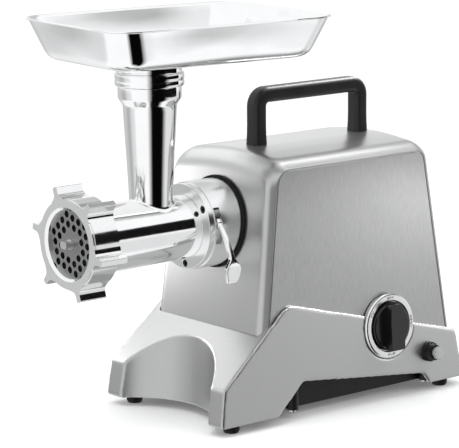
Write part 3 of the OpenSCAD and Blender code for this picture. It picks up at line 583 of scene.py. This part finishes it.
def blend_corners(stations, trims, steps=5):
    """Rounds the corners of a row of number tuples, starting trim mm away from each corner."""
    out = [np.array(stations[0], float)]
    for i in range(1, len(stations) - 1):
        a, c, b = (np.array(stations[i + k], float) for k in (-1, 0, 1))
        if not trims[i]:
            out.append(c)
            continue
        u, v = a - c, b - c
        p = c + u * min(0.5, trims[i] / np.linalg.norm(u[:3]))
        q = c + v * min(0.5, trims[i] / np.linalg.norm(v[:3]))
        for k in range(steps + 1):
            t = k / steps
            out.append((1 - t) ** 2 * p + 2 * t * (1 - t) * c + t * t * q)
    out.append(np.array(stations[-1], float))
    return out


def cowl_ring(x, inset, top, lean):
    """The cowl's outline at a station, its side leaning in with the height if lean is 1."""
    return [(math.copysign(1, x) * (abs(x) - lean * SIDE_SLOPE * (z - SIDE_FOOT)) if x else 0.0, y, z)
            for y, z in cowl_outline(inset, top)]


def cowl_body():
    """Vertices and faces of the cowl's sheet: bevelled frame round each side panel, crowned top."""
    # x, inset of the outline, height of the top, lean
    half = [(0, 0, 261.5, 0), (12, 0, 261.5, 0), (34, 0, 260, 0), (62.5, 0, 256.6, 0), (76, 0, 251.6, 1),
            (81.7, 7.6, 249, 1), (81.7, 8.0, 248.6, 1), (80.8, 8.1, 248.5, 1)]
    right = blend_corners(half, [0, 6, 8, 7, 5, 0.3, 0.1, 0])
    outer = [(-s[0], *s[1:]) for s in right[:0:-1]] + right
    inner = [(math.copysign(max(0, abs(x) - COWL_SHEET), x), inset + COWL_SHEET, top - COWL_SHEET, lean)
             for x, inset, top, lean in outer]
    rings_out, rings_in = [cowl_ring(*s) for s in outer], [cowl_ring(*s) for s in inner]
    v1, f1 = loft(rings_out, False, False)
    v2, f2 = loft(rings_in, False, False)
    n, m, o = len(rings_out), len(rings_out[0]), len(v1)
    faces = f1 + [tuple(i + o for i in f[::-1]) for f in f2]
    for base, flip in ((0, 1), (o, -1)):
        faces.append(tuple(range(base, base + m))[::-flip])
        faces.append(tuple(range(base + (n - 1) * m, base + n * m))[::flip])
    for j in (0, m - 1):
        faces += [(i * m + j, (i + 1) * m + j, (i + 1) * m + j + o, i * m + j + o) for i in range(n - 1)]
    for i in (0, n - 1):
        faces.append((i * m, i * m + m - 1, i * m + m - 1 + o, i * m + o))
    return v1 + v2, faces


def make_cowl():
    """Painted cowl with its socket hole, switch hole, rear vents and the handle's seats."""
    cowl = shell("upper_housing_fine", cowl_body())
    holes = [prism(circle(SOCKET_HOLE_R, 128), ahead, -30, 30),
             prism(circle(SWITCH_HOLE_R, 64), on_wall(DIAL_AT), -30, 20)]
    for x in (-VENT_X, VENT_X):
        for i in range(VENTS):
            holes.append(prism(rounded_box(*VENT_SIZE, 4), behind(x, VENT_LOW + i * VENT_PITCH), 200, 260))
    for y in HANDLE_LEGS:
        holes.append(prism(rounded_box(*HANDLE_BAR, 4), upright(y), 250, 275))
    cut(cowl, *holes)
    finish_piece(cowl, "upper_housing", "housing", "silver_paint", 28)


def make_base():
    """The CAD base remade as one even skin with rounded edges."""
    obj = copy_of("base_housing")
    m = obj.modifiers.new("skin", "REMESH")
    m.mode, m.voxel_size, m.adaptivity = "VOXEL", SKIN_VOXEL * MM, 0
    m = obj.modifiers.new("round", "SMOOTH")
    m.factor, m.iterations = 0.5, SKIN_ROUNDS
    apply_modifiers(obj)
    finish_piece(obj, "base_housing", "housing", "base_paint", 180, weight=False)


def make_handle():
    """Carry handle: a bar on two legs that flare a little where they meet the cowl."""
    front, rear = HANDLE_LEGS
    y0, y1, z0 = front + HANDLE_BEND, rear - HANDLE_BEND, HANDLE_BAR_Z - HANDLE_BEND
    bends = [(HANDLE_BEND * math.cos(math.radians(a)), HANDLE_BEND * math.sin(math.radians(a)), a)
             for a in range(0, 91, 9)]
    # y and z of the section's middle, its turn in degrees and its growth
    path = [(front, HANDLE_SEAT + up, 90, grow) for up, grow in HANDLE_FLARE]
    path += [(y0 - c, z0 + s, 90 - a, 1.0) for c, s, a in bends]
    path += [(y0 + (y1 - y0) * k / 6, HANDLE_BAR_Z, 0, 1.0) for k in range(1, 6)]
    path += [(y1 + s, z0 + c, -a, 1.0) for c, s, a in bends]
    path += [(rear, HANDLE_SEAT + up, -90, grow) for up, grow in HANDLE_FLARE[::-1]]
    section = rounded_box(*HANDLE_BAR, 5)
    rings = []
    for y, z, a, grow in path:
        c, s = math.cos(math.radians(a)), math.sin(math.radians(a))
        rings.append([(w * grow, y - s * t * grow, z + c * t * grow) for w, t in section])
    obj = shell("carry_handle_fine", loft(rings))
    finish_piece(obj, "carry_handle", "housing", "charcoal_plastic", 40)


# ---- head and tray ---------------------------------------------------------------------

# Profiles: (radius, distance ahead of the socket face), then (radius, height)
BARREL = [
    (31, 9.6), (30.4, 9), (28.3, 9), (28, 9.3), (28, 60), (28, 110), (28, 155), (35.25, 155),
    (35.25, 170.6), (35.6, 171), (38.4, 171), (39, 170.4), (39, 150.6), (38.6, 150), (35, 149.2),
    (33, 147.4), (32.4, 110), (31.7, 75), (31.1, 45), (31, 40)]
NECK = [
    (20.4, 205), (20.8, 214), (21.6, 235), (22.9, 260), (24.4, 285), (25.8, 310), (26.1, 314.4),
    (26.7, 315.6), (29.9, 320.2), (30.4, 321.4), (30.6, 322.8), (30.6, 331.4), (30.2, 332.7),
    (29.4, 333), (28.5, 333), (28.06, 332.5), (28.06, 318), (22.5, 318), (20.4, 260), (18.6, 223),
    (NECK_BORE, 205)]
SPOUT = [
    (SPOUT_BORE, 319.4), (25.9, 319), (27.6, 319), (28, 319.4), (28, 333.4), (32.8, 333.4),
    (33.3, 334.2), (33.3, 337.6), (32.9, 338.4), (32.9, 339.4), (33.3, 340.2), (33.3, 344.6),
    (32.7, 345.6), (31.4, 346), (31, 346.6), (31, 352.6), (31.4, 354.6), (32.6, 356.2),
    (34.6, 356.9), (34.6, 357.6), (SPOUT_BORE, 357.6)]

# The tray's rings: inset of the outline, height, corner radius
TRAY_OUTSIDE = [
    (2.2, 396.5, 27), (1.4, 396.95, 28), (0.6, 397, 28), (0.1, 396.6, 28), (0, 396.0, 28),
    (0.3, 395.5, 28), (1.2, 395.2, 28), (1.9, 394.9, 28), (2.2, 394.2, 28), (4.3, 388.4, 28),
    (6.9, 381.2, 28), (9.6, 373.8, 28), (11.6, 368.4, 28), (12.6, 365.8, 28), (13.7, 363.6, 28),
    (15.2, 361.3, 27.5), (17.2, 359.3, 27), (19.6, 357.9, 26), (22.4, 357.2, 25), (25.6, 357, 24),
    (40, 357, 14)]
TRAY_INSIDE = [
    (40, 358.2, 14), (26, 358.2, 24), (23, 358.4, 25), (20.4, 359.1, 26), (18.2, 360.3, 27),
    (16.3, 362.1, 27.5), (14.8, 364.3, 28), (13.7, 366.4, 28), (12.7, 369, 28), (10.7, 374.4, 28),
    (8, 381.8, 28), (5.4, 389, 28), (3.4, 394.6, 28), (2.9, 395.8, 28)]

# The lever's middle line from its pin: x, z, thickness, width
LEVER_PATH = [
    (-3.5, 4.6, 5, 5), (0.8, 2.6, 5.6, 5.6), (5, -2.8, 5.6, 5.2), (9.6, -9.4, 5.2, 5), (11.6, -12, 5, 5),
    (13.4, -15, 4.8, 5), (17.2, -22.4, 4.8, 5.2), (20.6, -29.6, 4.8, 5.4), (21.6, -32, 4.8, 5.8),
    (22.2, -33.8, 4.8, 8.4), (22.9, -37.2, 4.7, 14), (23.2, -40.2, 4.6, 18.2), (23.2, -42, 4.5, 18.6),
    (22.9, -46, 4.3, 17.6), (22.1, -51, 4.1, 15), (21.4, -55, 4, 12.6), (21.2, -56, 3, 11.6)]
LEVER_HUB = [(2.02, -3), (2.02, 3), (4.9, 3), (5.5, 2.4), (5.5, -2.4), (4.9, -3)]


def neck_root(n=96):
    """The rounded root between the neck and the barrel, as a closed band."""
    foot_r = ROOT_NECK_R + ROOT_FILLET
    rows = []
    for i in range(n):
        a = 2 * math.pi * i / n
        c, s = math.cos(a), math.sin(a)

        def height(r):
            """Height of the barrel's skin above its axis at the distance r from the neck's axis."""
            return math.sqrt(ROOT_BARREL_R ** 2 - (r * c) ** 2)

        slope = -foot_r * c * c / height(foot_r)
        corner = height(foot_r) - slope * ROOT_FILLET
        outline = []
        for k in range(9):
            t = k / 8
            near, mid, far = (1 - t) ** 2, 2 * t * (1 - t), t * t
            outline.append((ROOT_NECK_R * near + mid * ROOT_NECK_R + foot_r * far,
                            (corner + ROOT_FILLET) * near + mid * corner + height(foot_r) * far))
        outline += [(foot_r - 0.5, height(foot_r) - 1.2), (ROOT_NECK_R - 0.8, height(ROOT_NECK_R) - 1.2),
                    (ROOT_NECK_R - 0.8, corner + ROOT_FILLET)]
        rows.append([(r * c, NECK_Y + r * s, AXIS_Z + z) for r, z in outline])
    return loft_round(rows)


def make_head():
    """Polished head: barrel on the grinding axis and upright neck, with a rounded root between them."""
    tube = shell("head_tube_fine", lathe(BARREL, ahead, 160))
    cut(tube, prism(circle(NECK_BORE, 96), upright(NECK_Y), AXIS_Z + 5, AXIS_Z + 50))
    cut(tube, prism(KEY_SLOT, ahead, 164.9, 172))
    absorb(tube, shell("neck", lathe(NECK, upright(NECK_Y)), neck_root()))
    finish_piece(tube, "head_tube", "head", "polished_steel", 35, weight=False)


def tray_ring(inset, z, r, steps=12, spans=16):
    """Rounded rectangle of the tray, its sides bowed a little, turned on the spout."""
    bow = TRAY_BOW * math.sin(math.pi * min(1, max(0, (z - TRAY_FLOOR) / TRAY_DEPTH)))
    pts = rounded_box(2 * (TRAY_HALF[0] - inset), 2 * (TRAY_HALF[1] - inset), r, steps)
    out = []
    for i, (nx, ny) in enumerate(((0, -1), (1, 0), (0, 1), (-1, 0))):
        corner = pts[i * (steps + 1):(i + 1) * (steps + 1)]
        following = pts[((i + 1) * (steps + 1)) % len(pts)]
        out += corner[:-1]
        for k, (x, y) in enumerate(spaced(corner[-1], following, spans)):
            push = bow * (1 - math.cos(2 * math.pi * k / spans)) / 2
            out.append((x + nx * push, y + ny * push))
    c, s, off = math.cos(TRAY_TURN), math.sin(TRAY_TURN), TRAY_MID_Y - NECK_Y
    return [(x * c - (y + off) * s, NECK_Y + x * s + (y + off) * c, z) for x, y in out]


def make_tray():
    """Polished tray: rolled rim, sloping walls, soft lower edge and the ringed spout below."""
    rings = [tray_ring(*row) for row in TRAY_OUTSIDE + TRAY_INSIDE]
    n, turns = len(rings[0]), len(TRAY_OUTSIDE)
    verts, faces = loft_round(rings)
    # The band between the two innermost rings gives way to the floor's two flat faces
    below, above = range((turns - 1) * n, turns * n), range(turns * n, (turns + 1) * n)
    faces = [f for f in faces if not (f[0] in below and any(v in above for v in f))]
    faces += [tuple(below), tuple(above)[::-1]]
    tray = shell("hopper_tray_fine", (verts, faces))
    cut(tray, prism(circle(SPOUT_BORE, 96), upright(NECK_Y), 350, 366))
    absorb(tray, shell("spout", lathe(SPOUT, upright(NECK_Y))))
    finish_piece(tray, "hopper_tray", "tray", "polished_steel", 40, weight=False)


def make_lever():
    """Cast lever: a hub on its pin, a thin cranked arm and a wide paddle."""
    px, pz = LEVER_PIN
    last = len(LEVER_PATH) - 1
    rings = []
    for i, (x, z, thick, wide) in enumerate(LEVER_PATH):
        a, b = LEVER_PATH[max(0, i - 1)], LEVER_PATH[min(last, i + 1)]
        t = Vector((b[0] - a[0], b[1] - a[1])).normalized()
        across = Vector((-t.y, t.x))
        section = rounded_box(wide, thick, min(thick, wide) * 0.22, 4)
        rings.append([(px + x + across.x * v, LEVER_Y + u, pz + z + across.y * v) for u, v in section])
    hub = lathe(LEVER_HUB, lambda x, y, h: (px + x, LEVER_Y + h, pz + y), 48)
    obj = shell("lock_lever_fine", loft(rings), hub)
    m = obj.modifiers.new("soft", "SUBSURF")
    m.levels = m.render_levels = 1
    apply_modifiers(obj)
    finish_piece(obj, "lock_lever", "lever", "lever_metal", 50, weight=False)


# ---- everything ------------------------------------------------------------------------

# Outer CAD nodes with softened edges: node, slot, body, bevel in mm, segments
FINE = [
    ("side_panel_left", "brushed_steel", "housing", 0.25, 2),
    ("side_panel_right", "brushed_steel", "housing", 0.25, 2),
    ("rubber_feet", "black_rubber", "housing", 0.8, 3),
    ("foot_screws", "zinc_steel", "housing", 0.25, 2),
    ("cover_screws", "zinc_steel", "housing", 0.25, 2),
    ("handle_screws", "zinc_steel", "housing", 0.25, 2),
    ("collar_gasket", "black_rubber", "housing", 1.0, 3),
    ("head_socket", "polished_steel", "housing", 0.6, 3),
    ("collar_plate", "polished_steel", "housing", 1.2, 4),
    ("socket_screws", "dark_steel", "housing", 0.3, 2),
    ("lever_pin", "zinc_steel", "housing", 0.3, 2),
    ("dial_ring", "dial_metal", "housing", 0.7, 3),
    ("breaker_collar", "black_plastic", "housing", 0.3, 2),
    ("cord_gland", "black_plastic", "housing", 0.5, 2),
    ("plate_key", "zinc_steel", "head", 0.2, 2),
    ("auger_stud", "zinc_steel", "feed_screw", 0.4, 2),
    ("cutting_knife", "plate_steel", "feed_screw", 0.3, 2),
    ("grinding_plate", "plate_steel", "plate", 0.3, 2),
    ("ring_nut", "nut_metal", "nut", 0.9, 3),
    ("control_knob", "knob_plastic", "knob", 1.0, 4),
    ("reset_button", "clear_cap", "reset", 0.6, 3),
]

# Inner CAD nodes, which only get a material
INNER = {
    "cast_aluminium": ["gearbox_housing", "gearbox_cover", "auger", "end_bracket"],
    "zinc_steel": ["gearbox_screws", "spindle_bearings", "motor_sleeve", "motor_bearings", "through_bolts",
                   "rotor_shaft", "motor_pinion", "intermediate_shaft", "intermediate_gear",
                   "intermediate_pinion", "drive_spindle", "output_gear"],
    "bronze": ["shaft_bushes", "brush_holders"],
    "dark_steel": ["stator_core", "rotor_core"],
    "copper_wire": ["field_coils", "commutator"],
    "carbon": ["carbon_brushes"],
    "black_plastic": ["motor_cradle", "switch_body", "breaker_body", "cooling_fan"],
    "white_plastic": ["terminal_block"],
}


def rib_cut(side):
    """A block that takes the ribs off one side wall of the tub."""
    outline = [(0, RIB_Y[0]), (RIB_DEPTH, RIB_Y[0]), (RIB_DEPTH, RIB_Y[1]), (0, RIB_Y[1])]
    return prism(outline, lambda x, y, z: (side * (TUB_WALL + x), y, z), *RIB_Z)


make_cowl()
make_base()
make_handle()
make_head()
make_tray()
make_lever()
for row in FINE:
    refine(*row)
refine("bottom_cover", "black_plastic", "housing", 0.5, 2, [rib_cut(-1), rib_cut(1)])
for slot, names in INNER.items():
    for name in names:
        nodes[name].data.materials.clear()
        nodes[name].data.materials.append(MATS[slot])


# ---- studio ----------------------------------------------------------------------------

# Dark cards all round, which the polished metal mirrors: from, to and softness of the turn
# (degrees to the right of the camera's side), the same of the elevation, and the light taken away
CARDS = [
    ((1, 68, 20), (-76, 26, 12), 1.0),
    ((50, 130, 16), (-36, -4, 8), 0.24),
    ((118, 200, 20), (10, 46, 12), 0.4),
    ((-200, -92, 14), (-28, 4, 14), 0.42),
    ((-118, -90, 16), (-28, 4, 14), 0.22),
    ((-92, -68, 10), (-28, 4, 14), 0.26),
    ((130, 200, 22), (-28, 4, 14), 0.5),
    ((104, 200, 22), (-90, -38, 14), 0.68),
    ((-200, -140, 22), (-90, -38, 14), 0.62),
]
LEAST_LIGHT, STUDIO_LIGHT = 0.002, 1.06
STUDIO_WHITE = (0.985, 0.992, 1.0, 1)

# Nodes that some softboxes light alone
GROUPS = {
    "satin": ["upper_housing", "base_housing", "side_panel_left", "side_panel_right"],
    "grip": ["carry_handle"],
    "foot": ["base_housing"],
}

# Softboxes: name, azimuth, elevation, distance, size, power, target, group lit or None for all
LIGHTS = [
    ("key", 10, 62, 1.8, 1.0, 12, (0, 0, 0.15), None),
    ("fill", 100, 35, 2.2, 1.2, 6, (0, 0, 0.15), None),
    ("overhead", -80, 50, 0.9, 0.7, 1.3, (0, 0, 0.2), "satin"),
    ("behind", -131, 13, 1.0, 0.4, 0.3, (0, 0.05, 0.3), "satin"),
    ("ridge", 172, 52, 0.5, 0.2, 0.8, (0.07, -0.05, 0.26), "satin"),
    ("base_ridge", 165, 47, 0.8, 0.4, 14, (0.1, 0.05, 0.09), "foot"),
    ("near_left", -62, 8, 0.34, 0.2, 0.45, (-0.11, -0.10, 0.14), "satin"),
    ("near_right", 130, 6, 0.5, 0.3, 0.5, (0.08, 0.22, 0.2), "satin"),
    ("grip", -165, 42, 1.0, 0.5, 16, (0, 0.03, 0.31), "grip"),
]


def direction(az, el):
    """Unit vector from the object towards an azimuth and elevation in degrees; 0 is the front."""
    a, e = math.radians(az), math.radians(el)
    return Vector((math.sin(a) * math.cos(e), -math.cos(a) * math.cos(e), math.sin(e)))


def make_camera():
    az, roll = math.radians(CAM_AZ), math.radians(CAM_ROLL)
    back = direction(CAM_AZ, CAM_EL)
    level = Vector((math.cos(az), math.sin(az), 0))
    over = back.cross(level)
    right = level * math.cos(roll) + over * math.sin(roll)
    up = -level * math.sin(roll) + over * math.cos(roll)
    cam = bpy.data.objects.new("camera", bpy.data.cameras.new("camera"))
    cam.data.sensor_width, cam.data.lens = CAM_SENSOR, CAM_LENS
    cam.data.clip_start, cam.data.clip_end = 0.05, 50
    place = Matrix((right, up, back)).transposed().to_4x4()
    place.translation = Vector(CAM_TARGET) + back * CAM_DISTANCE
    cam.matrix_world = place
    scene.collection.objects.link(cam)
    scene.camera = cam


def make_floor():
    """Pale floor that reflections do not see."""
    half = FLOOR_SIZE / 2
    floor = grid_plane("floor", Vector((-half, -half, 0)), Vector((FLOOR_SIZE, 0, 0)),
                       Vector((0, FLOOR_SIZE, 0)), FLOOR_SQUARES)
    m = Material("floor")
    fine = m.noise((3, 3, 3), 2)
    m.set(Base_Color=m.tint(m.spread(fine, 0, 1), grey(0.93), grey(0.95)),
          Roughness=m.spread(fine, 0.85, 0.95), Emission_Color=(1, 1, 1, 1), Emission_Strength=FLOOR_GLOW)
    floor.data.materials.append(m.mat)
    floor.visible_glossy = False


def make_flag():
    """Black card beside the head, which only reflections see: the dark line along the barrel."""
    out = direction(CAM_AZ + FLAG_TURN, 0)
    side = Vector((-out.y, out.x, 0))
    foot = Vector(FLAG_FROM) + out * FLAG_OUT
    flag = grid_plane("flag", foot - side * FLAG_HALF + Vector((0, 0, FLAG_LOW)), side * 2 * FLAG_HALF,
                      Vector((0, 0, FLAG_HIGH - FLAG_LOW)), FLAG_SQUARES)
    m = Material("flag")
    cloth = m.noise((300, 300, 300), 2)
    m.set(Base_Color=m.tint(m.spread(cloth, 0, 1), grey(0.002), grey(0.004)),
          Roughness=m.spread(cloth, 0.9, 1), Specular_IOR_Level=0.0)
    flag.data.materials.append(m.mat)
    flag.visible_camera = flag.visible_diffuse = flag.visible_shadow = flag.visible_transmission = False


def make_world():
    """Softbox studio: white all round less the dark cards, and plain white behind the object."""
    world = bpy.data.worlds.new("studio")
    scene.world = world
    world.use_nodes = True
    world.node_tree.nodes.clear()
    w = Nodes(world.node_tree)

    def window(value, low, high, soft):
        """One between low and high, falling to nothing over soft at each end."""
        up = w.calc("DIVIDE", w.calc("SUBTRACT", value, low - soft / 2), soft, True)
        down = w.calc("DIVIDE", w.calc("SUBTRACT", high + soft / 2, value), soft, True)
        return w.calc("MULTIPLY", up, down)

    axes = w.add("ShaderNodeSeparateXYZ")
    w.link(w.add("ShaderNodeTexCoord").outputs["Generated"], axes.inputs[0])
    x, y, z = axes.outputs
    az = w.calc("DEGREES", w.calc("ARCTAN2", x, w.calc("MULTIPLY", y, -1)))
    # Angle from the camera's side, from -180 to 180, growing to the right of the picture
    turn = w.calc("SUBTRACT", w.calc("MODULO", w.calc("ADD", az, 720 - CAM_AZ + 180), 360), 180)
    el = w.calc("DEGREES", w.calc("ARCSINE", z))
    total = None
    for turns, heights, depth in CARDS:
        card = w.calc("MULTIPLY", window(turn, *turns), window(el, *heights))
        left = w.calc("SUBTRACT", 1.0, w.calc("MULTIPLY", card, depth))
        total = left if total is None else w.calc("MULTIPLY", total, left)
    studio, plain = w.add("ShaderNodeBackground"), w.add("ShaderNodeBackground")
    studio.inputs[0].default_value = STUDIO_WHITE
    w.link(w.calc("MULTIPLY", w.calc("ADD", total, LEAST_LIGHT), STUDIO_LIGHT), studio.inputs[1])
    plain.inputs[0].default_value = (1, 1, 1, 1)
    plain.inputs[1].default_value = 1.0
    mix, out = w.add("ShaderNodeMixShader"), w.add("ShaderNodeOutputWorld")
    w.link(w.add("ShaderNodeLightPath").outputs["Is Camera Ray"], mix.inputs[0])
    w.link(studio.outputs[0], mix.inputs[1])
    w.link(plain.outputs[0], mix.inputs[2])
    w.link(mix.outputs[0], out.inputs[0])


def make_light(name, az, el, distance, size, power, target, group):
    """Square softbox; one that lights a group alone is also mirrored by it."""
    way = direction(az, el)
    light = bpy.data.lights.new(name, "AREA")
    light.shape, light.size, light.energy = "SQUARE", size, power
    obj = bpy.data.objects.new(name, light)
    obj.location = Vector(target) + way * distance
    obj.rotation_mode = "QUATERNION"
    obj.rotation_quaternion = (-way).to_track_quat("-Z", "Y")
    obj.visible_glossy = group is not None
    scene.collection.objects.link(obj)
    if group:
        obj.light_linking.receiver_collection = group


def lit_group(name, lit):
    """The objects that one of the extra softboxes lights."""
    group = bpy.data.collections.new(name)
    for node in lit:
        group.objects.link(bpy.data.objects[node + "_fine"])
    return group


make_camera()
make_floor()
make_flag()
make_world()
groups = {name: lit_group(name, lit) for name, lit in GROUPS.items()}
for *light_row, group_name in LIGHTS:
    make_light(*light_row, groups.get(group_name))
scene.view_settings.view_transform = "Standard"
